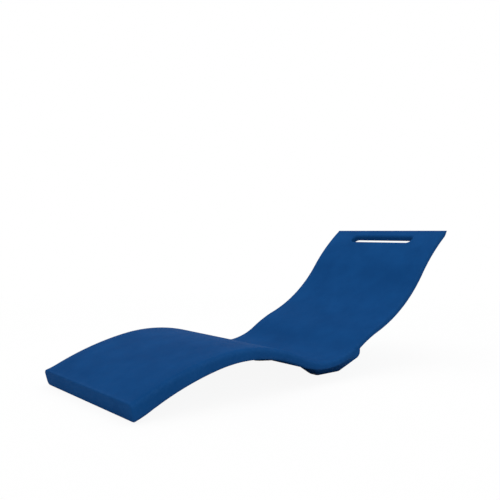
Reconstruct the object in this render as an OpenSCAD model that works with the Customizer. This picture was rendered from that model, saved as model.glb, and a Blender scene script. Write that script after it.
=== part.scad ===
// Sun lounger: a one-piece hollow moulding on a belly, with pads and two screw plugs.
// +X runs from the toe to the head, +Y across, +Z up. The origin is on the floor,
// under the middle of the lounger's box.

/* [Overall] */
// Width across the lounger
width = 700; // [600:5:760]
// Height of the toe's top edge above the floor
toe_height = 68; // [60:1:80]
// Slope of the surface at the toe, in degrees
toe_slope = 15; // [10:0.5:20]
// Thickness at the toe, square to the surface
toe_thick = 68; // [60:1:76]
// Thickness of the seat and the back
slab_thick = 31; // [28:0.5:36]
// Radius of the long edges
edge_r = 20; // [10:1:22]
// Thickness of the moulded wall
wall = 5; // [4:0.5:5.5]

/* [Lounging line] */
// Length of the lift behind the toe
lift_len = 54; // [40:1:70]
// Bend of the lift, in degrees, with a hollow bend positive
lift_bend = 9.4; // [5:0.1:12]
// Length of the calf rise
calf_len = 320; // [310:1:330]
// Bend of the calf rise, in degrees
calf_bend = -14.5; // [-16:0.1:-13]
// Length of the knee crest
knee_len = 441; // [430:1:450]
// Bend of the knee crest, in degrees
knee_bend = -35.6; // [-37:0.1:-34.5]
// Length of the seat hollow
seat_len = 327; // [318:1:338]
// Bend of the seat hollow, in degrees
seat_bend = 58.8; // [57.5:0.1:60]
// Length of the loin rise
loin_len = 145; // [135:1:155]
// Bend of the loin rise, in degrees
loin_bend = -12.4; // [-14:0.1:-11]
// Length of the back hollow
back_len = 388; // [376:1:400]
// Bend of the back hollow, in degrees
back_bend = 31.6; // [30.5:0.1:33]
// Length of the head roll
head_len = 276; // [264:1:287]
// Bend of the head roll, in degrees
head_bend = -16.6; // [-18.5:0.1:-15]

/* [Belly] */
// Distance from the toe to the front of the belly's flat, at its sides
belly_front = 975; // [965:1:985]
// Distance from the toe to the belly's upright rear face
belly_rear = 1110; // [1106:1:1120]
// Half the width of the belly's flat
belly_half = 228; // [222:1:240]
// Slope of the belly's front, in degrees
belly_front_slope = 32; // [28:0.5:36]
// Slope of the belly's sides, in degrees
belly_side_slope = 35.5; // [32:0.5:40]
// How much further back the belly's front stands in the middle than at its sides
scoop = 160; // [140:5:180]
// Half the width of the middle that stands back by the whole scoop
scoop_inner = 79; // [60:1:90]
// Distance from the middle at which the scoop ends
scoop_outer = 192; // [180:1:200]

/* [Handle slot] */
// Length of the slot across the lounger
slot_len = 390; // [340:5:430]
// Width of the slot along the surface
slot_w = 46; // [40:1:50]
// Distance along the surface from the head edge to the slot's middle
slot_inset = 72; // [68:1:85]

/* [Screw plugs] */
// Radius of a plug's shank, over the thread
plug_r = 12; // [10:0.5:14]
// Length of thread that is engaged
plug_reach = 12; // [9:0.5:13]
// Height of the drain plug above the floor
drain_height = 56; // [50:1:64]
// Distance along the surface from the head edge to the vent plug
vent_inset = 165; // [150:1:200]

/* [Pads] */
// How far the pads stand proud of the moulding
pad_proud = 2; // [1:0.5:3]
// Radius of a belly pad
pad_r = 20; // [17:1:22]
// Distance from the middle to a belly pad, across the lounger
belly_pad_y = 190; // [185:1:195]
// Distance from the middle to a toe pad, across the lounger
toe_pad_y = 240; // [150:5:280]

/* [Hidden] */

// The lounging line is a chain of tangent arcs, each a length and a bend
arcs = [
  [lift_len, lift_bend], [calf_len, calf_bend], [knee_len, knee_bend], [seat_len, seat_bend],
  [loin_len, loin_bend], [back_len, back_bend], [head_len, head_bend]
];
// Longest step along the line between two rings of the skin
ring_step = 42;
// The same under the seat, where the belly is
belly_ring_step = 20;
// Steps round a quarter of a long edge, and round the toe's edges
edge_steps = 3;
toe_steps = 3;
// Radius round the toe's edges
toe_r = 6;
// How far the head edge's level top reaches behind the line's end
head_lip = 26;
// Length of the head's upright end face, along the line
head_drop = 8;
// Radius of the blends between the belly's faces
belly_blend = 7;
// Ring spacing at the belly's upright rear face, and the clear gap on each side of it
rear_run = 1.5;
ring_gap = 4;
// Over these lengths before and behind that face the rings turn to stand upright on it
upright_before = [150, 100];
upright_behind = [20, 80];
// Largest edge radius as a share of the thickness, and the smallest inner radius
edge_share = 0.48;
inner_r = 3;
// Share of the wall by which the cavity stops short of the head's level top
level_share = 1 / 3;
// Places across the underside where the skin has points, as parts of the half width
under_parts = [0.9, 0.81, 0.73, 0.65, 0.58, 0.5, 0.41, 0.32, 0.22, 0];

// Running clearance of a plug in its bush
plug_clear = 0.08;
bush_r = plug_r + 5;
bush_len = 16;
flange_r = bush_r + 5;
flange_t = 3;
spot_r = flange_r + 1;
boss_r = flange_r + 4;
spot_depth = 1;
gasket_t = 2.5;
gasket_r = plug_r + 7;
// A plug's head stands this far off its gasket, and is this wide and thick
head_gap = 0.05;
head_low = gasket_t + head_gap;
head_r = plug_r + 8;
head_t = 7;
head_edge = 1;
grip_count = 12;
grip_r = 2;
coin_len = 28;
coin_w = 3;
coin_depth = 3;

// Depth of a pad's pocket, and the gap round a pad in it
pad_pocket = 4;
pad_fit = 0.4;
pad_floor = pad_pocket + wall;
pad_rim = 4;
belly_pad_x = [1022, 1080];
toe_pad_x = 46;
toe_pad_len = 34;
toe_pad_w = 80;

screw_seat = 2;
screw_head_r = 4.6;
screw_head_t = 3;
screw_r = 2.5;
screw_clear = 0.2;
screw_len = 11;
hex_r = 1.7;
hex_depth = 1.8;
insert_r = 4;
insert_len = 10;
insert_boss_r = 9;
insert_boss_h = pad_pocket + insert_len + 2;
// Overlap that carries a cut past the face it starts from, and a long one past a leaning face
over = 1;
far_over = 30;

// A place on the line is [x, z, slope, distance along the line]
function advance(place, run, bend) =
  let (a = place[2], curve = bend * PI / 180 / run)
  [
    place[0] + (sin(a + bend) - sin(a)) / curve,
    place[1] + (cos(a) - cos(a + bend)) / curve,
    a + bend,
    place[3] + run
  ];
function arc_start(i) =
  i == 0 ? [0, toe_height, toe_slope, 0] : advance(arc_start(i - 1), arcs[i - 1][0], arcs[i - 1][1]);
starts = [for (i = [0:len(arcs)]) arc_start(i)];
line_len = starts[len(arcs)][3];
function arc_index(s, i = 0) = i == len(arcs) - 1 || s < starts[i + 1][3] ? i : arc_index(s, i + 1);
function place_at(s) =
  let (i = arc_index(s), run = max(s - starts[i][3], 0.001))
  advance(starts[i], run, arcs[i][1] * run / arcs[i][0]);

// Thickness falls evenly from the toe to the middle of the line, then stays
function thick_at(s) = slab_thick + (toe_thick - slab_thick) * max(0, 1 - 2 * s / line_len);
function radius_at(s) = min(edge_r, edge_share * thick_at(s));

// Point at a depth below the surface, square to it
function below(place, depth) =
  [place[0] + depth * sin(place[2]), place[1] - depth * cos(place[2])];

// Distance along the line at which the underside stands over x
function under_s(x, low = 0, high = line_len, n = 24) =
  let (mid = (low + high) / 2)
  n == 0 ? mid
    : below(place_at(mid), thick_at(mid))[0] < x ? under_s(x, mid, high, n - 1)
    : under_s(x, low, mid, n - 1);

// How far a value has gone between two others, from 0 to 1, and the same with soft ends
function share(value, from, to) = min(1, max(0, (value - from) / (to - from)));
function eased(part) = part * part * (3 - 2 * part);
// The higher of two heights, with a blend where they meet
function blend_max(a, b) = (a + b + sqrt((a - b) * (a - b) + belly_blend * belly_blend)) / 2;
// Height of the belly's skin, moved inwards by inset
function belly_at(x, y, inset) =
  let (
    back = 1 - eased(share(abs(y), scoop_inner, scoop_outer)),
    front = (belly_front + scoop * back - x) * tan(belly_front_slope),
    side = (abs(y) - belly_half) * tan(belly_side_slope)
  )
  pad_proud + inset + max(0, blend_max(blend_max(front, side), 0) - belly_blend / 2);

// One ring of the skin: a rounded section, whose underside drops to the belly
function corner(s, inset, turn) =
  let (r = max(radius_at(s) - inset, inner_r))
  [
    for (k = [0:edge_steps])
    let (a = 90 * k / edge_steps)
    turn > 0 ? [width / 2 - inset - r + r * sin(a), inset + r - r * cos(a)]
      : [width / 2 - inset - r + r * cos(a), thick_at(s) - inset - r + r * sin(a)]
  ];
function half_section(s, inset) =
  concat(
    corner(s, inset, 1),
    corner(s, inset, -1),
    [for (part = under_parts) [width / 2 * part, thick_at(s) - inset]]
  );
function section(s, inset) =
  let (half = half_section(s, inset), n = len(half))
  concat(half, [for (i = [n - 2:-1:0]) [-half[i][0], half[i][1]]]);
function upright_at(s, rear) =
  share(s - rear, -upright_before[0], -upright_before[1])
  * share(rear - s, -upright_behind[1], -upright_behind[0]);
// Near the rear face, a point of the underside slides along the line to stand over its ring's lowest edge
function skin_point(s, point, inset, rear) =
  let (
    under = point[1] > thick_at(s) / 2,
    rise = thick_at(s) - inset - point[1],
    slid = under ? s + upright_at(s, rear) * rise * tan(place_at(s)[2]) : s,
    at = below(place_at(slid), point[1])
  )
  [at[0], point[0], under && s < rear ? min(at[1], belly_at(at[0], point[0], inset)) : at[1]];
function ring(s, inset, rear) =
  let (all_in = inset + toe_pull(s, inset))
  [for (point = section(s, all_in)) skin_point(s, point, all_in, rear)];

// How far the toe's rounding pulls the section in
function toe_pull(s, inset) =
  let (r = toe_r - inset, u = s - inset)
  u < r ? r - sqrt(r * r - (r - u) * (r - u)) : 0;

// Distances along the line at which the skin has rings
seat_arc = 3;
function arc_steps(i) = ceil(arcs[i][0] / (i == seat_arc ? belly_ring_step : ring_step));
even_steps = [
  for (i = [0:len(arcs) - 1])
  for (k = [0:arc_steps(i) - 1])
  starts[i][3] + arcs[i][0] * k / arc_steps(i)
];
function stations(inset, rear) =
  let (tail = line_len - inset - head_drop)
  concat(
    [for (k = [0:toe_steps]) inset + (toe_r - inset) * (1 - cos(90 * k / toe_steps))],
    [for (s = even_steps) if (s > toe_r + ring_gap && s < rear - ring_gap) s],
    [rear - rear_run / 2, rear + rear_run / 2],
    [for (s = even_steps) if (s > rear + ring_gap && s < tail - ring_gap) s],
    [tail, line_len - inset]
  );

// The last ring leans back to the head's level top
function end_ring(inset) =
  let (place = place_at(line_len - inset), t = thick_at(line_len - inset))
  [
    for (point = section(line_len - inset, inset))
    [place[0] + head_lip * point[1] / t, point[0], place[1] - inset * level_share]
  ];

module skin(inset) {
  rear = under_s(belly_rear - inset);
  places = stations(inset, rear);
  last = len(places) - 1;
  rings = [for (i = [0:last]) i == last ? end_ring(inset) : ring(places[i], inset, rear)];
  n = len(rings[0]);
  faces = concat(
    [[for (j = [n - 1:-1:0]) j]],
    [
      for (i = [0:last - 1])
      for (j = [0:n - 1])
      let (a = i * n + j, b = i * n + (j + 1) % n)
      each [[a, b, a + n], [b, b + n, a + n]]
    ],
    [[for (j = [0:n - 1]) last * n + j]]
  );
  polyhedron([for (r = rings) each r], faces);
}

// The middle of the lounger's box, from the toe
toe_x = toe_r * sin(toe_slope);
tip_x = starts[len(arcs)][0] + head_lip;
mid_x = (toe_x + tip_x) / 2;
module centred() translate([-mid_x, 0, 0]) children();

// Frames whose +Z points out of the moulding
slot_place = place_at(line_len - slot_inset);
vent_place = place_at(line_len - vent_inset);
vent_seat = below(vent_place, slab_thick - spot_depth);
drain_seat = [belly_rear - spot_depth - rear_run / 2, drain_height];
module at_slot() translate([slot_place[0], 0, slot_place[1]]) rotate([0, -slot_place[2], 0]) children();
module at_drain() translate([drain_seat[0], 0, drain_seat[1]]) rotate([0, 90, 0]) children();
module at_vent() translate([vent_seat[0], 0, vent_seat[1]]) rotate([0, 180 - vent_place[2], 0]) children();

// Frames at the pads, whose +Z points into the moulding from its underside
toe_s = under_s(toe_pad_x);
toe_seat = below(place_at(toe_s), thick_at(toe_s));
toe_lean = place_at(toe_s)[2] + atan(2 * (toe_thick - slab_thick) / line_len);
module at_belly_pads()
  for (x = belly_pad_x)
    for (y = [-belly_pad_y, belly_pad_y])
      translate([x, y, pad_proud]) children();
module at_toe_pads()
  for (y = [-toe_pad_y, toe_pad_y])
    translate([toe_seat[0], y, toe_seat[1]]) rotate([0, -toe_lean, 0]) children();
module at_screws() {
  at_belly_pads() children();
  at_toe_pads() children();
}

module slot_prism(grow) {
  w = slot_w + 2 * grow;
  linear_extrude(4 * slab_thick, center = true) {
    square([w, slot_len - slot_w], center = true);
    for (y = [-1, 1]) translate([0, y * (slot_len - slot_w) / 2]) circle(d = w, $fn = 48);
  }
}

// A plain round pad or a long one, from low to high
module pad_block(long, grow, low, high) {
  translate([0, 0, low])
    if (long)
      translate([-toe_pad_len / 2 - grow, -toe_pad_w / 2 - grow, 0])
        cube([toe_pad_len + 2 * grow, toe_pad_w + 2 * grow, high - low]);
    else
      cylinder(h = high - low, r = pad_r + grow, $fn = 64);
}
module plug_boss() translate([0, 0, -bush_len]) cylinder(h = bush_len + wall, r = boss_r, $fn = 64);
module plug_hole() {
  translate([0, 0, -bush_len - over]) cylinder(h = bush_len + over, r = bush_r, $fn = 64);
  translate([0, 0, -flange_t]) cylinder(h = flange_t, r = flange_r, $fn = 64);
  cylinder(h = wall, r = spot_r, $fn = 64);
}

module body_shell() color([0.08, 0.27, 0.48])
  centred()
    difference() {
      skin(0);
      difference() {
        skin(wall);
        at_slot() slot_prism(wall);
        at_drain() plug_boss();
        at_vent() plug_boss();
        at_belly_pads() pad_block(false, pad_rim, -over, pad_floor);
        at_toe_pads() pad_block(true, pad_rim, -over, pad_floor);
        at_screws() cylinder(h = insert_boss_h, r = insert_boss_r, $fn = 48);
      }
      at_slot() slot_prism(0);
      at_drain() plug_hole();
      at_vent() plug_hole();
      at_belly_pads() pad_block(false, pad_fit, -far_over, pad_pocket);
      at_toe_pads() pad_block(true, pad_fit, -far_over, pad_pocket);
      at_screws() cylinder(h = pad_pocket + insert_len, r = insert_r, $fn = 48);
    }

module bush() color("darkgoldenrod")
  difference() {
    union() {
      translate([0, 0, -bush_len]) cylinder(h = bush_len, r = bush_r, $fn = 64);
      translate([0, 0, -flange_t]) cylinder(h = flange_t, r = flange_r, $fn = 64);
    }
    cylinder(h = 3 * bush_len, r = plug_r + plug_clear, center = true, $fn = 64);
  }

module gasket() color([0.1, 0.1, 0.1])
  difference() {
    cylinder(h = gasket_t, r = gasket_r, $fn = 64);
    cylinder(h = 3 * gasket_t, r = plug_r + plug_clear, center = true, $fn = 64);
  }

module plug() color([0.12, 0.13, 0.15])
  difference() {
    union() {
      translate([0, 0, -plug_reach]) cylinder(h = plug_reach + head_low + over, r = plug_r, $fn = 64);
      translate([0, 0, head_low]) cylinder(h = head_t - head_edge, r = head_r, $fn = 64);
      translate([0, 0, head_low + head_t - head_edge])
        cylinder(h = head_edge, r1 = head_r, r2 = head_r - head_edge, $fn = 64);
    }
    for (i = [0:grip_count - 1])
      rotate(i * 360 / grip_count)
        translate([head_r + grip_r / 2, 0, head_low - over])
          cylinder(h = head_t + 2 * over, r = grip_r, $fn = 24);
    translate([-coin_w / 2, -coin_len / 2, head_low + head_t - coin_depth])
      cube([coin_w, coin_len, coin_depth + over]);
  }

module drain_bush() centred() at_drain() bush();
module drain_gasket() centred() at_drain() gasket();
module drain_plug() centred() at_drain() plug();
module vent_bush() centred() at_vent() bush();
module vent_gasket() centred() at_vent() gasket();
module vent_plug() centred() at_vent() plug();

// Room for a screw through a pad: its shank, and its head from below
module screw_room() {
  cylinder(h = pad_pocket + over, r = screw_r + screw_clear, $fn = 32);
  translate([0, 0, screw_seat - far_over]) cylinder(h = far_over, r = screw_head_r + pad_fit, $fn = 32);
}
module belly_pads() color([0.13, 0.13, 0.13])
  centred()
    at_belly_pads()
      difference() {
        pad_block(false, 0, -pad_proud, pad_pocket);
        screw_room();
      }
module toe_pads() color([0.13, 0.13, 0.13])
  centred()
    difference() {
      at_toe_pads()
        difference() {
          pad_block(true, 0, -far_over, pad_pocket);
          screw_room();
        }
      translate([toe_pad_x - toe_thick, -width / 2, -toe_thick]) cube([2 * toe_thick, width, toe_thick]);
    }

module pad_screws() color("silver")
  centred()
    at_screws()
      difference() {
        union() {
          translate([0, 0, screw_seat]) cylinder(h = screw_len, r = screw_r, $fn = 32);
          translate([0, 0, screw_seat - screw_head_t]) cylinder(h = screw_head_t, r = screw_head_r, $fn = 32);
        }
        translate([0, 0, screw_seat - screw_head_t - over])
          cylinder(h = hex_depth + over, r = hex_r, $fn = 6);
      }

module pad_inserts() color("gold")
  centred()
    at_screws()
      translate([0, 0, pad_pocket])
        difference() {
          cylinder(h = insert_len, r = insert_r, $fn = 48);
          translate([0, 0, -over]) cylinder(h = insert_len + 2 * over, r = screw_r, $fn = 32);
        }

body_shell();
drain_bush();
drain_gasket();
drain_plug();
vent_bush();
vent_gasket();
vent_plug();
belly_pads();
toe_pads();
pad_screws();
pad_inserts();
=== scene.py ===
# %% [markdown]
# # A one-piece moulded sun lounger
#
# The real lounger is rotationally moulded: powdered plastic melts inside a heated, turning mould
# and coats its walls, which leaves one hollow skin with soft edges. Two screw plugs let ballast
# water in and out, and rubber pads keep the skin off the ground. Here each of those pieces is
# a surface worked out with numpy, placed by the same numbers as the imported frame.

import math

import bpy
import numpy as np
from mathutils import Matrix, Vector


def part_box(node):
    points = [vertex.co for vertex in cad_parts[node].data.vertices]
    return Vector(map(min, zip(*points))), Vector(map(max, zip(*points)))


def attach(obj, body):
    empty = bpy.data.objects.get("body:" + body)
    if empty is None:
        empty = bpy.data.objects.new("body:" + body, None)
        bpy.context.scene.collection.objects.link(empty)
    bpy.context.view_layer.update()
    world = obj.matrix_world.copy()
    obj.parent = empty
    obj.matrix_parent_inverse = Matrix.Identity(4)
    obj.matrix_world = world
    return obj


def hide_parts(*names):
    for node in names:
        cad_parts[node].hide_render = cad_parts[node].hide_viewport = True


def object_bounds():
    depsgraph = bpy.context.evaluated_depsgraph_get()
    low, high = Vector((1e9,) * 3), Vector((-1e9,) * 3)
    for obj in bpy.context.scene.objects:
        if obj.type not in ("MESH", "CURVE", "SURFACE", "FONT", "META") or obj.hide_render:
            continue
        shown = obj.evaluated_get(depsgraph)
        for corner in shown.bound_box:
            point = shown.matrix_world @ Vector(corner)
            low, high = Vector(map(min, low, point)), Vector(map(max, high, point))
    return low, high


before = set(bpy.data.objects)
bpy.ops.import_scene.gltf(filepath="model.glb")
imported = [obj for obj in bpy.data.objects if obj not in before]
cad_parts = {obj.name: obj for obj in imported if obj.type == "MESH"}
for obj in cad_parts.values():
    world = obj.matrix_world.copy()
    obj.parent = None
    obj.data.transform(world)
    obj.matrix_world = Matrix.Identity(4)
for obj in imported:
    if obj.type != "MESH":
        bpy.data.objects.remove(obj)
cad_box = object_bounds()
print("frame box", [round(v, 4) for corner in cad_box for v in corner])

# %% [markdown]
# ## The lounging line
#
# Seen from the side, the lounger is one line: a lift behind the toe, a long calf rise, a knee
# crest, a seat hollow, a loin rise, a back hollow and a head roll. Seven circular arcs that
# meet without a kink say all of it, and a point anywhere on such a chain has an exact formula,
# so no curve has to be fitted or drawn by hand.

# %% Arcs and places along the line
MM = 0.001
WIDTH = 700 * MM
TOE_HEIGHT, TOE_SLOPE = 68 * MM, math.radians(15)
TOE_THICK, SLAB_THICK = 68 * MM, 31 * MM
TOE_R, HEAD_LIP = 6 * MM, 26 * MM
# From the toe to the head, each arc's length in millimetres and its bend in degrees
ARCS = {
    "lift": (54, 9.4),
    "calf": (320, -14.5),
    "knee": (441, -35.6),
    "seat": (327, 58.8),
    "loin": (145, -12.4),
    "back": (388, 31.6),
    "head": (276, -16.6),
}
RUNS = np.array([run for run, _ in ARCS.values()]) * MM
BENDS = np.radians([bend for _, bend in ARCS.values()])


def advance(x, z, slope, run, bend):
    """A place carried along an arc: the slope grows by the bend, the place moves by its chord."""
    curve = bend / run
    end = slope + bend
    return x + (np.sin(end) - np.sin(slope)) / curve, z + (np.cos(slope) - np.cos(end)) / curve, end


starts = [(0.0, TOE_HEIGHT, TOE_SLOPE)]
for run, bend in zip(RUNS, BENDS):
    starts.append(advance(*starts[-1], run, bend))
STARTS = np.array(starts)
MARKS = np.concatenate([[0], np.cumsum(RUNS)])
LINE = MARKS[-1]
MID_X = (TOE_R * math.sin(TOE_SLOPE) + STARTS[-1, 0] + HEAD_LIP) / 2


def place_at(s):
    """x, z and slope at a distance along the line: the arc it falls in, carried the rest of the way."""
    arc = np.clip(np.searchsorted(MARKS, s, side="right") - 1, 0, len(RUNS) - 1)
    run = np.maximum(s - MARKS[arc], 1e-7)
    x, z, slope = (STARTS[arc, k] for k in range(3))
    return advance(x, z, slope, run, BENDS[arc] * run / RUNS[arc])


def below(s, depth):
    """x, z and slope at a depth under the line, square to it."""
    x, z, slope = place_at(s)
    return x + depth * np.sin(slope), z - depth * np.cos(slope), slope


def thick_at(s):
    """Thickness: falls evenly from the toe to the middle of the line, then stays."""
    return SLAB_THICK + (TOE_THICK - SLAB_THICK) * np.maximum(0, 1 - 2 * s / LINE)


print("line", round(float(LINE), 3), "m long, ends at", STARTS[-1].round(4))

# %% [markdown]
# ## Surfaces from grids
#
# Every piece below is a grid of points that wraps round on itself. A helper turns such a grid
# into a mesh: it joins neighbours with four-sided faces, closes the two ends with a cap or
# joins them to each other, and turns the skin outwards if its volume comes out negative.

# %% Grid to mesh


def quads(rows, cols, ring):
    """Corner numbers of the faces between neighbouring rows; the columns always wrap round."""
    a = np.arange(rows if ring else rows - 1)[:, None]
    b = np.arange(cols)[None, :]
    up, side = (a + 1) % rows, (b + 1) % cols
    return np.stack([a * cols + b, a * cols + side, up * cols + side, up * cols + b], -1).reshape(-1, 4)


def grid_mesh(grids, ring=False):
    """Points and faces of one or more closed skins, each an array of rows x columns x 3."""
    points, faces, base = [], [], 0
    for grid in grids:
        rows, cols, _ = grid.shape
        flat = grid.reshape(-1, 3)
        quad = quads(rows, cols, ring)
        p = flat[quad]
        middle = p - flat.mean(0)
        volume = np.einsum("ij,ij->i", middle[:, 0], np.cross(middle[:, 1], middle[:, 3])).sum()
        caps = [] if ring else [np.arange(cols)[::-1], (rows - 1) * cols + np.arange(cols)]
        turn = -1 if volume < 0 else 1
        faces += (quad[:, ::turn] + base).tolist() + [(cap[::turn] + base).tolist() for cap in caps]
        points.append(flat)
        base += len(flat)
    return np.concatenate(points), faces


def new_piece(name, grids, ring=False):
    """An object at the origin whose mesh is those skins, with the row frame's places in it."""
    points, faces = grid_mesh(grids, ring)
    mesh = bpy.data.meshes.new(name)
    mesh.from_pydata(points.tolist(), [], faces)
    mesh.update()
    piece = bpy.data.objects.new(name, mesh)
    bpy.context.scene.collection.objects.link(piece)
    return piece


def carve(piece, cutter):
    """Takes the cutter's space out of a piece and keeps the result as the piece's own mesh."""
    cut = piece.modifiers.new("cut", "BOOLEAN")
    cut.operation, cut.solver, cut.object = "DIFFERENCE", "EXACT", cutter
    graph = bpy.context.evaluated_depsgraph_get()
    made = bpy.data.meshes.new_from_object(piece.evaluated_get(graph))
    piece.modifiers.clear()
    piece.data = made
    bpy.data.objects.remove(cutter)


def smooth(piece, crease=32):
    """Shades a piece smoothly except over edges that turn by more than the crease, in degrees."""
    piece.data.shade_smooth()
    piece.data.set_sharp_from_angle(angle=math.radians(crease))
    print(piece.name, len(piece.data.vertices), "points", len(piece.data.polygons), "faces")


# %% [markdown]
# ## The moulded body
#
# The body is that line swept across its width. A section square to the line is a slab with
# rounded long edges, and under the seat the slab's underside drops to a belly with sloping
# sides, which ends in an upright rear face. Writing the belly as a height over the floor, and
# taking the lower of slab and belly with a soft blend, gives one skin with no seam to hide.

# %% Columns round a section
FLAT_STEPS, EDGE_STEPS = 13, 9
# Over half the underside, the columns are wide apart at the middle and close over the belly
UNDER_Y = np.concatenate([[0, 35], np.arange(66, 335, 5.5)]) * MM


def section_columns():
    """Each column as five weights: half width and edge radius for y, and inset, edge radius
    and thickness for depth. One side runs from the top's middle to the underside's middle."""
    flat = np.linspace(0, 1, FLAT_STEPS + 1)[:-1]
    turn = np.linspace(0, np.pi / 2, EDGE_STEPS)
    under = (UNDER_Y[::-1] / UNDER_Y.max())[1:]
    zero, one = np.zeros_like, np.ones_like
    top = np.stack([flat, -flat, one(flat), zero(flat), zero(flat)])
    high = np.stack([one(turn), np.sin(turn) - 1, one(turn), 1 - np.cos(turn), zero(turn)])
    low = np.stack([one(turn), np.cos(turn) - 1, -one(turn), np.sin(turn) - 1, one(turn)])
    bottom = np.stack([under, -under, -one(under), zero(under), one(under)])
    return np.concatenate([top, high, low, bottom], 1)


HALF = section_columns()
SIDE = np.concatenate([np.ones(HALF.shape[1]), -np.ones(HALF.shape[1] - 2)])
COLUMNS = np.concatenate([HALF, HALF[:, -2:0:-1]], 1)
print("columns round the section:", COLUMNS.shape[1])

# %% [markdown]
# The belly stands on a flat at each side, 456 mm over both. Its front slopes up to the leg and is
# scooped out in the middle, so that two feet reach forward. Its sides slope up to the long edges
# so that it would leave a mould, and its rear face is upright. Sharp meetings of these faces are
# softened with a blend of limited reach, which leaves the feet exactly flat.

# %% Belly as a height over the floor
BELLY_FRONT, BELLY_REAR, BELLY_HALF = 975 * MM, 1110 * MM, 228 * MM
FRONT_RISE, SIDE_RISE = math.tan(math.radians(32)), math.tan(math.radians(35.5))
BELLY_LIFT, BELLY_BLEND, SLAB_BLEND = 2 * MM, 7 * MM, 12 * MM
SCOOP, SCOOP_INNER, SCOOP_OUTER = 160 * MM, 79 * MM, 192 * MM
REAR_RUN, REAR_R, REAR_HOLLOW = 1.5 * MM, 5 * MM, 5 * MM


def soft_max(a, b, reach):
    """The higher of two heights, rounded where they are within reach of each other."""
    near = np.maximum(reach - np.abs(a - b), 0) / reach
    return np.maximum(a, b) + near * near * reach / 4


def soft_min(a, b, reach):
    """The lower of two heights, rounded where they are within reach of each other."""
    return -soft_max(-a, -b, reach)


def ramp(value, low, high):
    """0 below low, 1 above high, and an eased rise between them."""
    t = np.clip((value - low) / (high - low), 0, 1)
    return t * t * (3 - 2 * t)


def belly_at(x, y):
    """Height of the belly: the highest of its flat, its scooped front slope and its side slope."""
    back = SCOOP * (1 - ramp(np.abs(y), SCOOP_INNER, SCOOP_OUTER))
    front = (BELLY_FRONT + back - x) * FRONT_RISE
    side = (np.abs(y) - BELLY_HALF) * SIDE_RISE
    return BELLY_LIFT + soft_max(soft_max(front, side, BELLY_BLEND), 0, BELLY_BLEND * 0.7)


def quarter(share):
    """How far a rounded edge has fallen, from 0 at its start to 1 at its end."""
    return 1 - np.sqrt(np.maximum(0, 1 - share * share))


def line_under(x):
    """Distance along the line at which the underside stands over x, by halving the range."""
    low, high = 0.0, float(LINE)
    for _ in range(40):
        s = (low + high) / 2
        low, high = (s, high) if below(s, thick_at(s))[0] < x else (low, s)
    return (low + high) / 2


REAR_S = line_under(BELLY_REAR)
print("rear face at", round(REAR_S, 4), "m along the line")

# %% [markdown]
# A ring is one section with its points worked out. Rings stand square to the line, but the rear
# face of the belly is upright, and a face between two slanting rings would have stairs in it.
# So near that face the underside's points slide along the line until each ring stands upright.

# %% Body rings
# Radius of the long edges, its most as a share of the thickness, and its least
EDGE_R, EDGE_SHARE, LEAST_R = 20 * MM, 0.48, 3 * MM
# Far and near distances from the rear face between which the rings turn upright, on either side
UPRIGHT_BEFORE, UPRIGHT_BEHIND = (150 * MM, 100 * MM), (80 * MM, 20 * MM)
# Most that a rounding of the rear face takes of that face's height
ROUND_SHARE = 0.45


def upright_at(s):
    """1 close to the rear face, where rings stand upright, and 0 where they are square to the line."""
    before = ramp(s, *(REAR_S - reach for reach in UPRIGHT_BEFORE))
    return before * ramp(-s, *(-REAR_S - reach for reach in UPRIGHT_BEHIND))


def body_ring_points(s, inset):
    """Points of the rings at distances s, each section moved inwards by its inset."""
    half, edge, low_edge, deep_edge, deep = COLUMNS
    s, inset = s[:, None], inset[:, None]
    thick = thick_at(s)
    radius = np.maximum(np.minimum(EDGE_R, EDGE_SHARE * thick) - inset, LEAST_R)
    y = SIDE * ((WIDTH / 2 - inset) * half + radius * edge)
    depth = inset * low_edge + radius * deep_edge + thick * deep
    under = deep > 0
    slid = s + np.where(under, upright_at(s) * (thick - inset - depth) * np.tan(place_at(s)[2]), 0)
    x, z, _ = below(slid, depth)
    belly = belly_at(np.minimum(x, BELLY_REAR), y) - radius * deep_edge * under
    # the rear face rounds into the belly below and into the slab above
    most = ROUND_SHARE * np.maximum(z - belly, 0)
    at_foot = np.clip((x - BELLY_REAR + REAR_R) / REAR_R, 0, 1)
    at_slab = np.clip((BELLY_REAR + REAR_HOLLOW - x) / REAR_HOLLOW, 0, 1)
    lift = np.minimum(REAR_R, most) * quarter(at_foot)
    drop = np.minimum(REAR_HOLLOW, most) * quarter(at_slab)
    z = np.where(under, np.where(s < REAR_S, soft_min(z, belly + lift, SLAB_BLEND), z - drop), z)
    return np.stack([x - MID_X, y, z], -1)


RING_STEP, BELLY_STEP, BELLY_START = 11 * MM, 6 * MM, 740 * MM


def body_stations():
    """Distances of the rings: close at the toe's rounding and the belly, wider elsewhere."""
    toe = TOE_R * (1 - np.cos(np.linspace(0, np.pi / 2, 9)))
    even = np.arange(TOE_R + 8 * MM, LINE - 22 * MM, RING_STEP)
    belly = np.arange(line_under(BELLY_START), REAR_S - REAR_R - 3 * MM, BELLY_STEP)
    turn = np.linspace(0, np.pi / 2, 7)
    before = [line_under(x) for x in BELLY_REAR - REAR_R + REAR_R * np.sin(turn) - REAR_RUN / 2]
    behind = [line_under(x) for x in BELLY_REAR + REAR_HOLLOW * (1 - np.cos(turn)) + REAR_RUN / 2]
    even = even[(even < belly[0] - 4 * MM) | (even > behind[-1] + 4 * MM)]
    return np.sort(np.concatenate([toe, even, belly, before, behind]))


def bezier(a, b, c, t):
    """Rings between a and c, drawn towards b."""
    t = np.asarray(t)[:, None, None]
    return (1 - t) ** 2 * a + 2 * t * (1 - t) * b + t * t * c


def shrink(ring, by):
    """A level ring drawn in towards its own middle by a distance on each side."""
    low, high = ring.min(0), ring.max(0)
    middle, size = (low + high) / 2, np.maximum(high - low, 1e-6)
    share = np.maximum(1 - 2 * by / size, 0)
    share[2] = 1
    return middle + (ring - middle) * share


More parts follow.
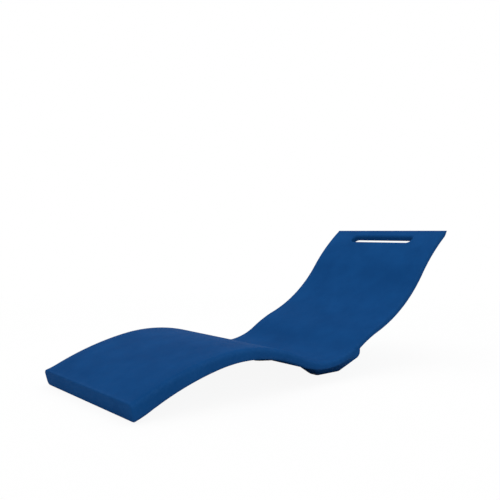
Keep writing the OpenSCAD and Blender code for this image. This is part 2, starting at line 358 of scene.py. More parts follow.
# The toe's face stands back a little, so that its rounding stays inside the frame's box
TOE_BACK, TOE_CAP = 0.3 * MM, 0.5 * MM
stations = body_stations()
pull = np.maximum(TOE_R - stations, 0)
rings = body_ring_points(stations + TOE_BACK * pull / TOE_R, TOE_R - np.sqrt(TOE_R**2 - pull**2))
print("rings along the line:", len(rings))

# %% [markdown]
# At the head the slab is cut level, and its end face stands almost upright, so the last rings
# can't stay square to the line. They are drawn along two Bezier curves instead: one rounds the
# underside into the end face, and one rounds the end face into the level top.

# %% Head end and toe end
# Distances before the line's end where the first curve starts, and of the ring that it is drawn to
HEAD_TURN, HEAD_PULL = 18 * MM, 8 * MM
HEAD_ROUND, HEAD_CAP = 2 * MM, 2.6 * MM
square = body_ring_points(LINE - np.array([HEAD_TURN, HEAD_PULL, 0]), np.zeros(3))
x_end, z_end, _ = place_at(LINE)
level = square[2].copy()
_, _, _, deep_edge, deep = COLUMNS
down = np.clip(deep_edge * EDGE_SHARE + deep, 0, 1)
level[:, 0] = x_end - MID_X + HEAD_LIP * down
level[:, 2] = z_end
wall_way = level - square[1]
under_level = level - wall_way * (HEAD_ROUND / wall_way[:, 2:])
head = np.concatenate(
    [
        bezier(square[0], square[1], under_level, np.linspace(0, 1, 9)),
        bezier(under_level, level, shrink(level, HEAD_ROUND), np.linspace(0, 1, 6)[1:]),
        shrink(level, HEAD_CAP)[None],
    ]
)
toe_face = body_ring_points(np.array([TOE_BACK]), np.array([TOE_R + TOE_CAP]))
body = new_piece("lounger_body", [np.concatenate([toe_face, rings, head])])
print("body rings", len(stations) + len(head) + 1)

# %% [markdown]
# ## Openings in the body
#
# Openings are cut with boolean modifiers. Most cutters are turned shapes, made in a frame of
# their own with their axis upright, and then stood at their place with the tilt of the skin.

# %% Turned shapes


def turned(radii, heights, cols):
    """A turned shape: rows of radius and height, each carried round its axis."""
    angle = np.arange(cols) * 2 * np.pi / cols
    radii = np.broadcast_to(np.asarray(radii, float).reshape(len(heights), -1), (len(heights), cols))
    up = np.broadcast_to(np.asarray(heights, float).reshape(len(heights), -1), radii.shape)
    return np.stack([radii * np.cos(angle), radii * np.sin(angle), up], -1)


def stand(grid, at, tilt):
    """A grid in a local frame moved to its place: turned about Y by the tilt, then carried."""
    c, s = math.cos(tilt), math.sin(tilt)
    turn = np.array([[c, 0, s], [0, 1, 0], [-s, 0, c]])
    return grid @ turn.T + np.asarray(at)


# %% [markdown]
# The slot in the head goes right through, with soft lips as a moulded edge has. Its cutter is
# a long rounded outline that spreads where it meets the surface. The spread meets the surface
# at a slight angle rather than just touching it, because a boolean cut needs a clear crossing.

# %% Slot cutter
SLOT_LEN, SLOT_W, SLOT_S = 390 * MM, 46 * MM, LINE - 72 * MM
SLOT_LIP, GRIP_LIP, LIP_LEAN = 3 * MM, 16 * MM, math.radians(18)
# How far the cutter stands out of both faces, and the points round a larger and a small shape
CUT_PAST = 6 * MM
FINE, SMALL = 96, 48


def slot_grid():
    """The slot's outline in distance and width, grown at both faces, carried down through the slab.
    The front lip on the head side is the softest, because that is where a hand grips."""
    angle = np.arange(FINE) * 2 * np.pi / FINE + np.pi / FINE
    grip = ramp(np.cos(angle), -0.2, 0.9)
    front_lip = SLOT_LIP + (GRIP_LIP - SLOT_LIP) * grip
    rear_lip = np.full(FINE, SLOT_LIP)
    turn = np.linspace(0, np.pi / 2, 9)[:, None]
    fall, grow = math.cos(LIP_LEAN) - np.cos(turn), 1 - np.sin(turn)
    depth = [0 * angle - CUT_PAST, *(front_lip * fall), *(SLAB_THICK - rear_lip * fall[::-1])]
    grown = [front_lip, *(front_lip * grow), *(rear_lip * grow[::-1]), rear_lip]
    radius = SLOT_W / 2 + np.array(grown)
    s = SLOT_S + radius * np.cos(angle)
    y = np.sign(np.sin(angle)) * (SLOT_LEN - SLOT_W) / 2 + radius * np.sin(angle)
    x, z, _ = below(s, np.array([*depth, 0 * angle + SLAB_THICK + CUT_PAST]))
    return np.stack([x - MID_X, y, z], -1)


print("slot", round(SLOT_LEN / MM), "by", round(SLOT_W / MM), "mm at", round(float(SLOT_S), 3), "m")

# %% [markdown]
# The drain plug sits low in the belly's rear face and the vent plug high under the back, where
# the air gathers while water runs in. Each seat is a hole for the bush, a wider step for its
# flange, and a chamfered mouth that opens past the skin.

# %% Seats of the plugs
PLUG_R, BUSH_R, BUSH_LEN, FLANGE_R, FLANGE_T = 12 * MM, 17 * MM, 16 * MM, 22 * MM, 3 * MM
SEAT_DEPTH, GAP = 1 * MM, 0.05 * MM
DRAIN_HEIGHT, VENT_INSET = 56 * MM, 165 * MM
drain_at = (BELLY_REAR - SEAT_DEPTH - REAR_RUN / 2 - MID_X, 0, DRAIN_HEIGHT)
vent_x, vent_z, vent_slope = below(LINE - VENT_INSET, SLAB_THICK - SEAT_DEPTH)
vent_at = (float(vent_x) - MID_X, 0, float(vent_z))
SEATS = {"drain": (drain_at, math.pi / 2), "vent": (vent_at, math.pi - float(vent_slope))}
bush_r, step_r = BUSH_R + GAP, FLANGE_R + GAP
step_z = -FLANGE_T - GAP
seat_cut = turned(
    [bush_r, bush_r, step_r, step_r, 22.6 * MM, 23 * MM, 23.4 * MM],
    [-BUSH_LEN - GAP, step_z, step_z, 0, 0, 0.4 * MM, 8 * MM],
    FINE,
)
for port, (at, _) in SEATS.items():
    print(port, "seat at", [round(v, 4) for v in at])

# %% [markdown]
# The rubber pads sit in shallow pockets under the belly and the toe. A pocket is the pad's own
# outline grown by a small gap, and above it a hole takes the brass insert of the pad's screw.
# All the cutters of the skin go into one mesh, and the holes that start inside a pocket follow
# in a second cut, because cutters that overlap each other would confuse the boolean.

# %% Pockets, and all the cuts
PAD_R, PAD_TOP, PAD_GAP = 20 * MM, 4 * MM, 0.4 * MM
TOE_PAD_LONG, TOE_PAD_WIDE, TOE_PAD_CORNER = 34 * MM, 80 * MM, 2 * MM
INSERT_R, INSERT_TOP = 4 * MM, 14 * MM
BELLY_PAD_X, BELLY_PAD_Y = (1022 * MM, 1080 * MM), 190 * MM
TOE_PAD_X, TOE_PAD_Y = 46 * MM, 240 * MM
BELLY_PADS = [(x - MID_X, y, BELLY_LIFT) for x in BELLY_PAD_X for y in (-BELLY_PAD_Y, BELLY_PAD_Y)]
toe_s = line_under(TOE_PAD_X)
toe_x, toe_z, toe_lean = below(toe_s, thick_at(toe_s))
toe_lean = float(toe_lean) + math.atan(2 * (TOE_THICK - SLAB_THICK) / LINE)
TOE_PADS = [(float(toe_x) - MID_X, y, float(toe_z)) for y in (-TOE_PAD_Y, TOE_PAD_Y)]
PAD_PLACES = [(at, 0.0) for at in BELLY_PADS] + [(at, -toe_lean) for at in TOE_PADS]
insert_cut = turned([INSERT_R + 0.06 * MM] * 2, [0.5 * MM, INSERT_TOP + GAP], SMALL)
round_pocket = turned([PAD_R + PAD_GAP] * 2, [-8 * MM, PAD_TOP], FINE)


def long_outline(cols, length, across, corner):
    """Distance from the middle to a rectangle with rounded corners, at even angles round it."""
    angle = np.arange(cols) * 2 * np.pi / cols
    c, s = np.abs(np.cos(angle)), np.abs(np.sin(angle))
    flat = np.minimum((length / 2) / np.maximum(c, 1e-9), (across / 2) / np.maximum(s, 1e-9))
    a, b = length / 2 - corner, across / 2 - corner
    along = c * a + s * b
    arc = along + np.sqrt(np.maximum(along**2 - (a * a + b * b - corner**2), 0))
    in_corner = (flat * c > a) & (flat * s > b)
    return np.where(in_corner, arc, flat)


pocket_sides = (TOE_PAD_LONG + 2 * PAD_GAP, TOE_PAD_WIDE + 2 * PAD_GAP, TOE_PAD_CORNER + PAD_GAP)
pocket_outline = long_outline(FINE, *pocket_sides)
long_pocket = turned(np.stack([pocket_outline] * 2), [-9 * MM, PAD_TOP], FINE)
cuts = [slot_grid()] + [stand(seat_cut, *seat) for seat in SEATS.values()]
for (at, tilt), pocket in zip(PAD_PLACES, [round_pocket] * 4 + [long_pocket] * 2):
    cuts += [stand(pocket, at, tilt)]
carve(body, new_piece("cutter", cuts))
carve(body, new_piece("cutter", [stand(insert_cut, at, tilt) for at, tilt in PAD_PLACES]))
smooth(body)

# %% [markdown]
# ## Screw plugs, gaskets and bushes
#
# Each plug screws into a threaded bush that is moulded into the wall, and squeezes a rubber
# ring. A thread is a turned shape whose radius rises and falls with height and with angle
# together, so one formula draws it. Plug and bush use the same formula with a small gap, and
# the plug comes out by one pitch for each turn, so the threads stay in mesh as it unscrews.

# %% Thread and grip
PITCH, THREAD_DEPTH, THREAD_GAP = 3 * MM, 1.2 * MM, 0.12 * MM
COLS = 144
ROUND = np.arange(COLS) * 2 * np.pi / COLS


def thread(heights, crest, depth, pitch):
    """Radius over height and angle: a flat-topped wave that climbs one pitch in one turn."""
    phase = heights[:, None] / pitch - ROUND / (2 * np.pi)
    wave = np.clip(0.5 + 0.85 * np.cos(2 * np.pi * phase), 0, 1)
    return crest - depth * (1 - wave)


def scallops(count, at, radius):
    """Distance from the axis to a rim that has that many round hollows cut from it."""
    gap = np.abs((ROUND + np.pi / count) % (2 * np.pi / count) - np.pi / count)
    reach = radius**2 - (at * np.sin(gap)) ** 2
    return np.where(reach > 0, at * np.cos(gap) - np.sqrt(np.maximum(reach, 0)), at)


print("thread", round(PITCH / MM, 2), "mm pitch,", round(THREAD_DEPTH / MM, 2), "mm deep")

# %% [markdown]
# Each fitting is drawn in its own frame, with the axis upright and the flange's face at zero
# height, so one drawing serves both ports. The bush has grooves outside, which the moulded wall
# flows into and grips, and the plug's rim has hollows for the fingers.

# %% Plug, gasket and bush in their own frame
HEAD_LOW, HEAD_R, HEAD_T, RIM_ROUND = 2.55 * MM, 20 * MM, 7 * MM, 1.4 * MM
GRIPS, GRIP_AT, GRIP_R = 12, 21 * MM, 2 * MM
THREAD_STEP = 0.25
quarter_turn = np.linspace(0, np.pi / 2, 6)


def plug_grid():
    """Thread, neck, the head's underside, its gripping rim, a rounded top edge and a dished top."""
    up = np.arange(-11.6, -1.4, THREAD_STEP) * MM
    fade = ramp(up, -11.6 * MM, -10 * MM)[:, None] * ramp(-up, 1.6 * MM, 2.6 * MM)[:, None]
    core = PLUG_R - THREAD_DEPTH
    threaded = core + (thread(up, PLUG_R, THREAD_DEPTH, PITCH) - core) * fade
    low, high = HEAD_LOW, HEAD_LOW + HEAD_T
    side_r = np.array([19.2, 19.8, 20, 20]) * MM
    side_z = [low, low + 0.2 * MM, low + 0.8 * MM, high - 1.6 * MM]
    round_r = HEAD_R - RIM_ROUND + RIM_ROUND * np.cos(quarter_turn)
    round_z = high - RIM_ROUND + RIM_ROUND * np.sin(quarter_turn)
    dish_r = np.array([17.2, 16.4, 15.6, 8, 2]) * MM
    dish_z = high - np.array([0, 0.1, 0.5, 0.5, 0.5]) * MM
    rim_r = np.concatenate([side_r, round_r, dish_r])
    rim_z = np.concatenate([side_z, round_z, dish_z])
    # the hollows are drawn in with the rim's own rounding, and stay clear of the dish
    drawn_in = np.where(rim_r > 18 * MM, HEAD_R - rim_r, 0)[:, None]
    rim = np.minimum(rim_r[:, None], scallops(GRIPS, GRIP_AT, GRIP_R) - drawn_in)
    start_r = np.array([8, 9.4, 10.2])[:, None] * MM * np.ones(COLS)
    neck_r = np.array([core, core, 12.5 * MM])[:, None] * np.ones(COLS)
    start_z = np.array([-12, -12, -11.8]) * MM
    neck_z = [-1 * MM, low - 0.02 * MM, low]
    radii = np.concatenate([start_r, threaded, neck_r, rim])
    return turned(radii, np.concatenate([start_z, up, neck_z, rim_z]), COLS)


def flattened(wave, power=0.45):
    """A wave with its sign kept and its size raised to a power, which squares off a circle."""
    return np.sign(wave) * np.abs(wave) ** power


def gasket_grid():
    """A flat rubber ring with round edges: a squared-off circle carried round the axis."""
    turn = np.arange(28) * 2 * np.pi / 28
    radii = (15.6 + 3.4 * flattened(np.cos(turn))) * MM
    return turned(radii, (1.26 + 1.22 * flattened(np.sin(turn))) * MM, FINE)


def bush_grid():
    """A flanged bush: its bore follows the plug's thread with a small gap, its outside is grooved."""
    up = np.arange(-15.5, -0.2, THREAD_STEP) * MM
    bore = thread(up, PLUG_R, THREAD_DEPTH, PITCH) + THREAD_GAP
    mouth = PLUG_R + THREAD_GAP
    open_end = ramp(-up, 0, 1.2 * MM)[:, None]
    bore = mouth + (bore - mouth) * open_end
    outer = [(12.6, 0), (13, 0), (21.2, 0), (21.8, -0.2), (22, -0.8), (22, -2.6), (21.8, -3), (17, -3)]
    for top in (-5, -9.6):
        outer += [(17, top), (16.4, top - 0.4), (16.4, top - 2), (17, top - 2.4)]
    outer += [(17, -16), (12.2, -16)]
    outer_r, outer_z = np.array(outer).T * MM
    radii = np.concatenate([bore, outer_r[:, None] * np.ones(COLS)])
    return turned(radii, np.concatenate([up, outer_z]), COLS)


fitting_sizes = {"plug": plug_grid(), "gasket": gasket_grid(), "bush": bush_grid()}
for name, grid in fitting_sizes.items():
    print(name, "size in mm", (np.ptp(grid.reshape(-1, 3), axis=0) / MM).round(2))

# %% [markdown]
# A coin turns such a plug, so its head has one straight slot, which is cut after the plug has
# been stood in its place. Every fitting stays a separate piece, because each moves on its own.

# %% Place plugs, gaskets and bushes
COIN_WIDE, COIN_LONG, COIN_DEEP = 3 * MM, 28 * MM, 3 * MM
coin = [(side * COIN_WIDE / 2, end * COIN_LONG / 2) for side, end in ((-1, -1), (1, -1), (1, 1), (-1, 1))]
coin_cut = np.array([[[x, y, z] for x, y in coin] for z in (HEAD_LOW + HEAD_T - COIN_DEEP, 14 * MM)])
fittings = {}
for port, seat in SEATS.items():
    plug = new_piece(port + "_screw_plug", [stand(plug_grid(), *seat)])
    carve(plug, new_piece("cutter", [stand(coin_cut, *seat)]))
    ring = new_piece(port + "_seal_ring", [stand(gasket_grid(), *seat)], ring=True)
    bush = new_piece(port + "_thread_bush", [stand(bush_grid(), *seat)], ring=True)
    fittings[port] = (plug, ring, bush)
    for piece in fittings[port]:
        smooth(piece, 38)

# %% [markdown]
# ## Pads, screws and inserts
#
# The rubber pads sit in shallow pockets, each held by a screw from below in a brass insert that
# is moulded into the wall. A pad is a ring in shape, because its screw goes through it: the
# outline of its section is carried round the hole, and its outer side follows a circle under
# the belly or a long rounded rectangle at the toe, where it is also cut level with the floor.

# %% Pads
HOLE_R, ROOM_R, ROOM_TOP = 2.7 * MM, 5 * MM, 2 * MM
PAD_ROUND, RIB_RISE = 0.9 * MM, 0.7 * MM


def pad_grid(outline, floor):
    """Hole, screw seat, ribbed foot, rounded rim and side; floor gives the foot's height at x."""
    cols = len(outline)
    angle = np.arange(cols) * 2 * np.pi / cols
    # each row: a radius of its own, its share of the outline, its height, and if that follows the floor
    rows = [(HOLE_R, 0, PAD_TOP, 0), (HOLE_R, 0, ROOM_TOP, 0), (ROOM_R, 0, ROOM_TOP, 0)]
    rows += [(ROOM_R, 0, 0.5 * MM, 1), (ROOM_R + 0.5 * MM, 0, 0, 1)]
    for share in (0.3, 0.5, 0.7):
        for step, rise in ((-0.05, 0), (-0.03, RIB_RISE), (0.03, RIB_RISE), (0.05, 0)):
            rows.append((ROOM_R * (1 - share - step), share + step, rise, 1))
    for turn in quarter_turn:
        rows.append(((math.sin(turn) - 1) * PAD_ROUND, 1, (1 - math.cos(turn)) * PAD_ROUND, 1))
    rows += [(0, 1, PAD_TOP - 0.4 * MM, 0), (-0.4 * MM, 1, PAD_TOP, 0)]
    own, out, rise, on_floor = (np.array(v)[:, None] for v in zip(*rows))
    radius = own + out * outline
    x, y = radius * np.cos(angle), radius * np.sin(angle)
    return np.stack([x, y, rise + on_floor * floor(x)], -1)


def toe_floor(x):
    """Height of the floor in the leaning frame of a toe pad."""
    return -(float(toe_z) + x * math.sin(toe_lean)) / math.cos(toe_lean)


long_sides = long_outline(120, TOE_PAD_LONG, TOE_PAD_WIDE, TOE_PAD_CORNER)
round_pad = pad_grid(np.full(FINE, PAD_R), lambda x: -BELLY_LIFT + 0 * x)
long_pad = pad_grid(long_sides, toe_floor)
belly_pads = new_piece("belly_rubber_pads", [stand(round_pad, at, 0) for at in BELLY_PADS], ring=True)
toe_pads = new_piece("toe_rubber_pads", [stand(long_pad, at, -toe_lean) for at in TOE_PADS], ring=True)
for piece in (belly_pads, toe_pads):
    smooth(piece, 38)

# %% [markdown]
# The pad screws are small pan heads with a hexagon recess, and the inserts are knurled so that
# the plastic grips them. Both are turned shapes again: a hexagon is only a radius that changes
# with the angle, and a knurl is a fine wave.

# %% Screws and inserts
HEX_R, SCREW_PITCH = 1.7 * MM, 0.8 * MM
small_round = np.arange(SMALL) * 2 * np.pi / SMALL
from_flat = (small_round + math.pi / 6) % (math.pi / 3) - math.pi / 6
hexagon = HEX_R * math.cos(math.pi / 6) / np.cos(from_flat)


def screw_grid():
    """Recess floor, hexagon wall, pan head, shank with a fine thread and a chamfered tip."""
    shank = np.arange(2.4, 12.4, 0.2) * MM
    phase = shank[:, None] / SCREW_PITCH - small_round / (2 * np.pi)
    core = 2.02 * MM + 0.4 * MM * np.clip(0.5 + 0.7 * np.cos(2 * np.pi * phase), 0, 1)
    head_r = np.array([2.2, 3.4, 4.2, 4.5, 4.6, 4.6, 4.4, 2.5, 2.3])
    head_z = np.array([-1, -1, -0.75, -0.35, 0.2, 1.8, 2, 2, 2.2])
    recess = [hexagon * 0.6, hexagon, hexagon, hexagon * 1.12]
    recess_z = np.array([0.8, 0.8, -0.8, -1]) * MM
    head = [np.full(SMALL, r * MM) for r in head_r]
    tip = [np.full(SMALL, r * MM) for r in (1.9, 1.4)]
    tip_z = np.array([12.6, 13]) * MM
    radii = np.array([*recess, *head, *core, *tip])
    return turned(radii, np.concatenate([recess_z, head_z * MM, shank, tip_z]), SMALL)


def insert_grid():
    """A brass sleeve: plain bore, knurled outside with a groove round its middle."""
    knurl = 3.97 * MM - 0.14 * MM * (0.5 + 0.5 * np.cos(16 * small_round))
    bore, mouth, groove, end = (np.full(SMALL, r * MM) for r in (2.5, 2.8, 3.5, 3.7))
    radii = [bore, bore, mouth, end, knurl, knurl, groove, groove, knurl, knurl, end, mouth]
    heights = np.array([13.7, 4.3, 4, 4, 4.3, 8, 8.3, 9.7, 10, 13.7, 14, 14]) * MM
    return turned(np.array(radii), heights, SMALL)


screws = new_piece("pad_machine_screws", [stand(screw_grid(), *place) for place in PAD_PLACES])
inserts = new_piece("pad_brass_inserts", [stand(insert_grid(), *place) for place in PAD_PLACES], ring=True)
for piece in (screws, inserts):
    smooth(piece, 30)

# %% [markdown]
# ## Finishes
#
# Each finish is a small recipe of nodes on the piece's own coordinates, so it needs no picture
# and stays put when the piece moves. The recipes share a few kinds of node, and a short call
# for each kind keeps a finish down to a few lines that can be read.

# %% Node helpers


class Recipe:
    """A material's node tree with short calls for the few nodes that the finishes need."""

    def __init__(self, name):
        self.material = bpy.data.materials.new(name)
        self.material.use_nodes = True
        self.tree = self.material.node_tree
        self.shader = self.tree.nodes["Principled BSDF"]
        self.place = self.tree.nodes.new("ShaderNodeTexCoord").outputs["Object"]

    def link(self, source, target):
        self.tree.links.new(source, target)

    def noise(self, scale, detail=2.0, rough=0.5, stretch=None):
        """Cloudy pattern from 0 to 1; scale is in clouds to the metre."""
        node = self.tree.nodes.new("ShaderNodeTexNoise")
        node.inputs["Scale"].default_value = scale
        node.inputs["Detail"].default_value = detail
        node.inputs["Roughness"].default_value = rough
        place = self.place
        if stretch:
            turn = self.tree.nodes.new("ShaderNodeMapping")
            turn.inputs["Scale"].default_value = stretch
            self.link(place, turn.inputs["Vector"])
            place = turn.outputs["Vector"]
        self.link(place, node.inputs["Vector"])
        return node.outputs["Fac"]

    def cells(self, scale):
        """Distance to the nearest of many scattered points, for specks and pits."""
        node = self.tree.nodes.new("ShaderNodeTexVoronoi")
        node.inputs["Scale"].default_value = scale
        self.link(self.place, node.inputs["Vector"])
        return node.outputs["Distance"]

    def ease(self, value, low, high, start=0.0, end=1.0):
        """The value taken from one range to another and held at its ends."""
        node = self.tree.nodes.new("ShaderNodeMapRange")
        for key, number in (("From Min", low), ("From Max", high), ("To Min", start), ("To Max", end)):
            node.inputs[key].default_value = number
        self.link(value, node.inputs["Value"])
        return node.outputs["Result"]

    def maths(self, kind, a, b):
        """One sum of two values, each a socket or a number."""
        node = self.tree.nodes.new("ShaderNodeMath")
        node.operation = kind
        for socket, value in zip(node.inputs, (a, b)):
            if isinstance(value, (int, float)):
                socket.default_value = value
            else:
                self.link(value, socket)
        return node.outputs["Value"]

    def mix(self, share, a, b):
        """Two colours mixed by a share, each a socket or three numbers."""
        node = self.tree.nodes.new("ShaderNodeMix")
        node.data_type = "RGBA"
        self.link(share, node.inputs["Factor"])
        for socket, value in ((node.inputs[6], a), (node.inputs[7], b)):
            if isinstance(value, tuple):
                socket.default_value = (*value, 1)
            else:
                self.link(value, socket)
        return node.outputs[2]

    def bump(self, height, distance, strength=1.0, after=None):
        """Relief whose full height is the distance, in metres."""
        node = self.tree.nodes.new("ShaderNodeBump")
        node.inputs["Distance"].default_value = distance
        node.inputs["Strength"].default_value = strength
        self.link(height, node.inputs["Height"])
        if after:
            self.link(after, node.inputs["Normal"])
        return node.outputs["Normal"]

    def finish(self, colour, rough, normal, specular=0.5, metallic=0.0):
        """Joins colour, roughness and relief to the shader, and sets its even values."""
        self.link(colour, self.shader.inputs["Base Color"])
        self.link(rough, self.shader.inputs["Roughness"])
        self.link(normal, self.shader.inputs["Normal"])
        self.shader.inputs["Specular IOR Level"].default_value = specular
        self.shader.inputs["Metallic"].default_value = metallic
        return self.material


def attribute(piece, name, values):
    """Writes one number for each point of a piece, which its finish can read."""
    data = piece.data.attributes.new(name, "FLOAT", "POINT")
    data.data.foreach_set("value", np.asarray(values, dtype=np.float32))


def points_of(piece):
    """All points of a piece as an array."""
    flat = np.empty(len(piece.data.vertices) * 3, dtype=np.float32)
    piece.data.vertices.foreach_get("co", flat)
    return flat.reshape(-1, 3)


# %% [markdown]
# Coloured moulding powder never mixes quite evenly, so the body's blue drifts in faint clouds
# with a fine speckle, and its skin has the grain of the mould. The long edges and the two ends
# are a little paler where they have been rubbed: each point of the mesh carries a number for
# that, worked out from its distance to the nearest edge.

# %% Blue moulding
BLUE_LIGHT = (0.0045, 0.0485, 0.1660)
BLUE_DARK = (0.0035, 0.0405, 0.1430)
BLUE_RUBBED = (0.0100, 0.0580, 0.1800)


def blue_moulding():
    """Clouds in the blue, pale specks, rubbed long edges, and grain over faint waves."""
    r = Recipe("blue_moulding")
    clouds = r.ease(r.noise(7, 5, 0.6), 0.35, 0.65)
    drift = r.mix(clouds, BLUE_DARK, BLUE_LIGHT)
    specks = r.ease(r.noise(900, 2, 0.5), 0.62, 0.75, 0.0, 0.35)
    worn = r.tree.nodes.new("ShaderNodeAttribute")
    worn.attribute_name = "worn"
    rub = r.maths("MULTIPLY", worn.outputs["Fac"], r.ease(r.noise(60, 4, 0.7), 0.4, 0.7, 0.15, 0.8))
    colour = r.mix(rub, r.mix(specks, drift, BLUE_LIGHT), BLUE_RUBBED)
    rough = r.maths("ADD", r.ease(r.noise(25, 4, 0.6), 0.3, 0.7, 0.66, 0.76), r.ease(rub, 0, 1, 0, -0.08))
    waves = r.bump(r.noise(9, 2, 0.5), 0.0012, 0.35)
    grain = r.bump(r.noise(650, 3, 0.6), 0.00025, 0.55, waves)
    return r.finish(colour, rough, grain, specular=0.01)


RUB_AT, RUB_WIDE = 4 * MM, 5 * MM
p = points_of(body)
edge = WIDTH / 2 - np.abs(p[:, 1])
tip = np.minimum(p[:, 0] - cad_box[0].x, cad_box[1].x - p[:, 0])
worn = np.exp(-(((np.minimum(edge, tip) - RUB_AT) / RUB_WIDE) ** 2))
attribute(body, "worn", worn)
blue = blue_moulding()
print("worn points", int((worn > 0.5).sum()), "of", len(worn))

# %% [markdown]
# The plugs and bushes are a hard black polymer with a satin skin from a polished mould. The
# gaskets and pads are rubber: the gaskets smooth with a little bloom, the pads dull and
# dusty. Steel and brass are turned, so their fine lines run round the axis, which a noise
# squeezed along one direction suggests at this size.

# %% Small finishes


def satin_black():
    """Near-black polymer: faint flow clouds, satin roughness and a fine etched grain."""
    r = Recipe("black_fitting")
    colour = r.mix(r.ease(r.noise(120, 4, 0.6), 0.3, 0.7), (0.013, 0.014, 0.016), (0.026, 0.028, 0.031))
    rough = r.ease(r.noise(300, 3, 0.6), 0.3, 0.7, 0.30, 0.44)
    return r.finish(colour, rough, r.bump(r.noise(1800, 2, 0.5), 0.00008, 0.5), specular=0.5)


def rubber(name, low, high, smooth_from, smooth_to, grain):
    """Black rubber with a grey bloom in patches and a pitted skin."""
    r = Recipe(name)
    colour = r.mix(r.ease(r.noise(90, 5, 0.65), 0.35, 0.7), low, high)
    rough = r.ease(r.noise(150, 4, 0.6), 0.3, 0.7, smooth_from, smooth_to)
    return r.finish(colour, rough, r.bump(r.cells(grain), 0.0002, 0.4), specular=0.3)


def turned_metal(name, low, high, smooth_from, smooth_to, lines):
    """Metal whose colour and shine vary in fine lines, with a tool's relief."""
    r = Recipe(name)
    streak = r.noise(lines, 3, 0.7, (1, 1, 9))
    colour = r.mix(r.ease(streak, 0.3, 0.7), low, high)
    rough = r.ease(r.noise(400, 3, 0.6), 0.3, 0.7, smooth_from, smooth_to)
    return r.finish(colour, rough, r.bump(streak, 0.00003, 0.6), metallic=1.0)


black = satin_black()
seal = rubber("seal_rubber", (0.010, 0.010, 0.011), (0.020, 0.020, 0.021), 0.45, 0.60, 2500)
pad = rubber("pad_rubber", (0.016, 0.016, 0.016), (0.040, 0.039, 0.037), 0.72, 0.90, 1600)
steel = turned_metal("steel", (0.50, 0.50, 0.52), (0.68, 0.68, 0.70), 0.22, 0.36, 900)
brass = turned_metal("brass", (0.62, 0.42, 0.16), (0.78, 0.58, 0.25), 0.25, 0.40, 900)
print("finishes", [finish.name for finish in (blue, black, seal, pad, steel, brass)])

# %% [markdown]
# ## Every piece rides on its body
#
# The frame's bodies carry the pieces, so that a plug turns and travels with its own joint.
# Each piece also says which solid of the frame it stands for, and which finish it wears.

# %% Ride and replace
WEAR = [
    (body, "lounger", "body_shell", "blue_moulding", blue),
    (belly_pads, "lounger", "belly_pads", "pad_rubber", pad),
    (toe_pads, "lounger", "toe_pads", "pad_rubber", pad),
    (screws, "lounger", "pad_screws", "steel", steel),
    (inserts, "lounger", "pad_inserts", "brass", brass),
]
for port, (plug, ring, bush) in fittings.items():
    WEAR += [
        (plug, port + "_cap", port + "_plug", "black_fitting", black),
        (ring, port + "_seal", port + "_gasket", "seal_rubber", seal),
        (bush, "lounger", port + "_bush", "black_fitting", black),
    ]
for piece, carrier, node, slot, material in WEAR:
    piece.data.materials.clear()
    piece.data.materials.append(material)
    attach(piece, carrier)
    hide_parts(node)
    low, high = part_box(node)
    p = points_of(piece)
    print(piece.name, "low", (p.min(0) - low).round(4), "high", (p.max(0) - high).round(4))

# %% [markdown]
# ## Floor, light and camera
#
# The studio has a pale floor. It has to carry a soft shadow near the piece and vanish into the
# white behind it, so the camera sees it mostly as plain white light, and wholly so further out.
# The share grows evenly with the distance over the floor, so no edge or horizon shows.

# %% Floor
FLOOR_GLOW, FLOOR_NEAR, FLOOR_FAR = 0.92, 1.0, 3.8
FLOOR_HALF, FLOOR_CELLS = 14, 8


def pale_floor():
    """A near-white floor with a breath of variation, which turns to the sky's white far out."""
    r = Recipe("pale_floor")
    colour = r.mix(r.ease(r.noise(3, 3, 0.5), 0.3, 0.7), (0.74, 0.74, 0.74), (0.77, 0.77, 0.77))
    rough = r.ease(r.noise(40, 3, 0.5), 0.3, 0.7, 0.85, 0.95)
    r.finish(colour, rough, r.bump(r.noise(200, 2, 0.5), 0.0002, 0.2), specular=0.1)
    apart = r.tree.nodes.new("ShaderNodeVectorMath")
    apart.operation = "LENGTH"
    r.link(r.place, apart.inputs[0])
    share = r.ease(apart.outputs["Value"], FLOOR_NEAR, FLOOR_FAR, FLOOR_GLOW, 1.0)
    seen = r.tree.nodes.new("ShaderNodeLightPath").outputs["Is Camera Ray"]
    sky = r.tree.nodes.new("ShaderNodeEmission")
    both = r.tree.nodes.new("ShaderNodeMixShader")
    r.link(r.maths("MULTIPLY", share, seen), both.inputs["Fac"])
    r.link(r.shader.outputs["BSDF"], both.inputs[1])
    r.link(sky.outputs["Emission"], both.inputs[2])
    r.link(both.outputs["Shader"], r.tree.nodes["Material Output"].inputs["Surface"])
    return r.material


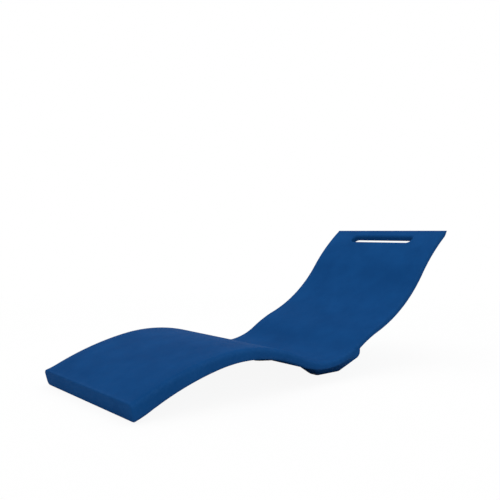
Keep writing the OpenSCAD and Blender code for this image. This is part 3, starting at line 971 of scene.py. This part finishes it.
row = FLOOR_CELLS + 1
across = np.linspace(-FLOOR_HALF, FLOOR_HALF, row)
floor_points = np.stack([*np.meshgrid(across, across), np.zeros((row, row))], -1).reshape(-1, 3)
a, b = (v.ravel() for v in np.meshgrid(np.arange(FLOOR_CELLS), np.arange(FLOOR_CELLS)))
corner = b * row + a
floor_faces = np.stack([corner, corner + 1, corner + row + 1, corner + row], 1)
floor_mesh = bpy.data.meshes.new("floor")
floor_mesh.from_pydata(floor_points.tolist(), [], floor_faces.tolist())
floor = bpy.data.objects.new("floor", floor_mesh)
bpy.context.scene.collection.objects.link(floor)
floor_mesh.materials.append(pale_floor())
print("floor", 2 * FLOOR_HALF, "m across")

# %% [markdown]
# An even white sky gives soft light from all round. One large lamp overhead makes the upward
# faces a little brighter than the sides, and a weak one on the near side keeps the long edge
# from going dark. The plain view transform keeps colours as they are set.

# %% Light
scene = bpy.context.scene
world = bpy.data.worlds.new("studio")
world.use_nodes = True
world.node_tree.nodes["Background"].inputs["Color"].default_value = (1, 1, 1, 1)
world.node_tree.nodes["Background"].inputs["Strength"].default_value = 1.0
scene.world = world
scene.view_settings.view_transform = "Standard"
scene.view_settings.look = "None"


def soft_light(name, at, to, size, watts):
    """A square lamp at one place that faces another."""
    lamp = bpy.data.lights.new(name, "AREA")
    lamp.shape, lamp.size, lamp.energy = "SQUARE", size, watts
    holder = bpy.data.objects.new(name, lamp)
    holder.location = at
    holder.rotation_euler = (Vector(to) - Vector(at)).to_track_quat("-Z", "Y").to_euler()
    scene.collection.objects.link(holder)


soft_light("overhead", (0, 0.3, 3.2), (0, 0, 0.2), 3.0, 45)
soft_light("near_side", (-0.4, -3.2, 0.7), (0.2, 0, 0.2), 1.6, 5)
print("lamps", [lamp.name for lamp in bpy.data.lights])

# %% [markdown]
# The camera stands in front of the toe on the near side, at the height of the head edge, so
# the level top of the head is seen as one straight line.

# %% Camera
YAW, PITCH_DOWN = math.radians(39.75), math.radians(1.66)
CAMERA_AT = (-1.0230 - MID_X, -2.178, 0.623)
lens = bpy.data.cameras.new("camera")
lens.sensor_width, lens.lens = 36, 46.8
camera = bpy.data.objects.new("camera", lens)
camera.location = CAMERA_AT
camera.rotation_euler = (math.pi / 2 - PITCH_DOWN, 0, -YAW)
scene.collection.objects.link(camera)
scene.camera = camera
print("camera", [round(v, 3) for v in CAMERA_AT])
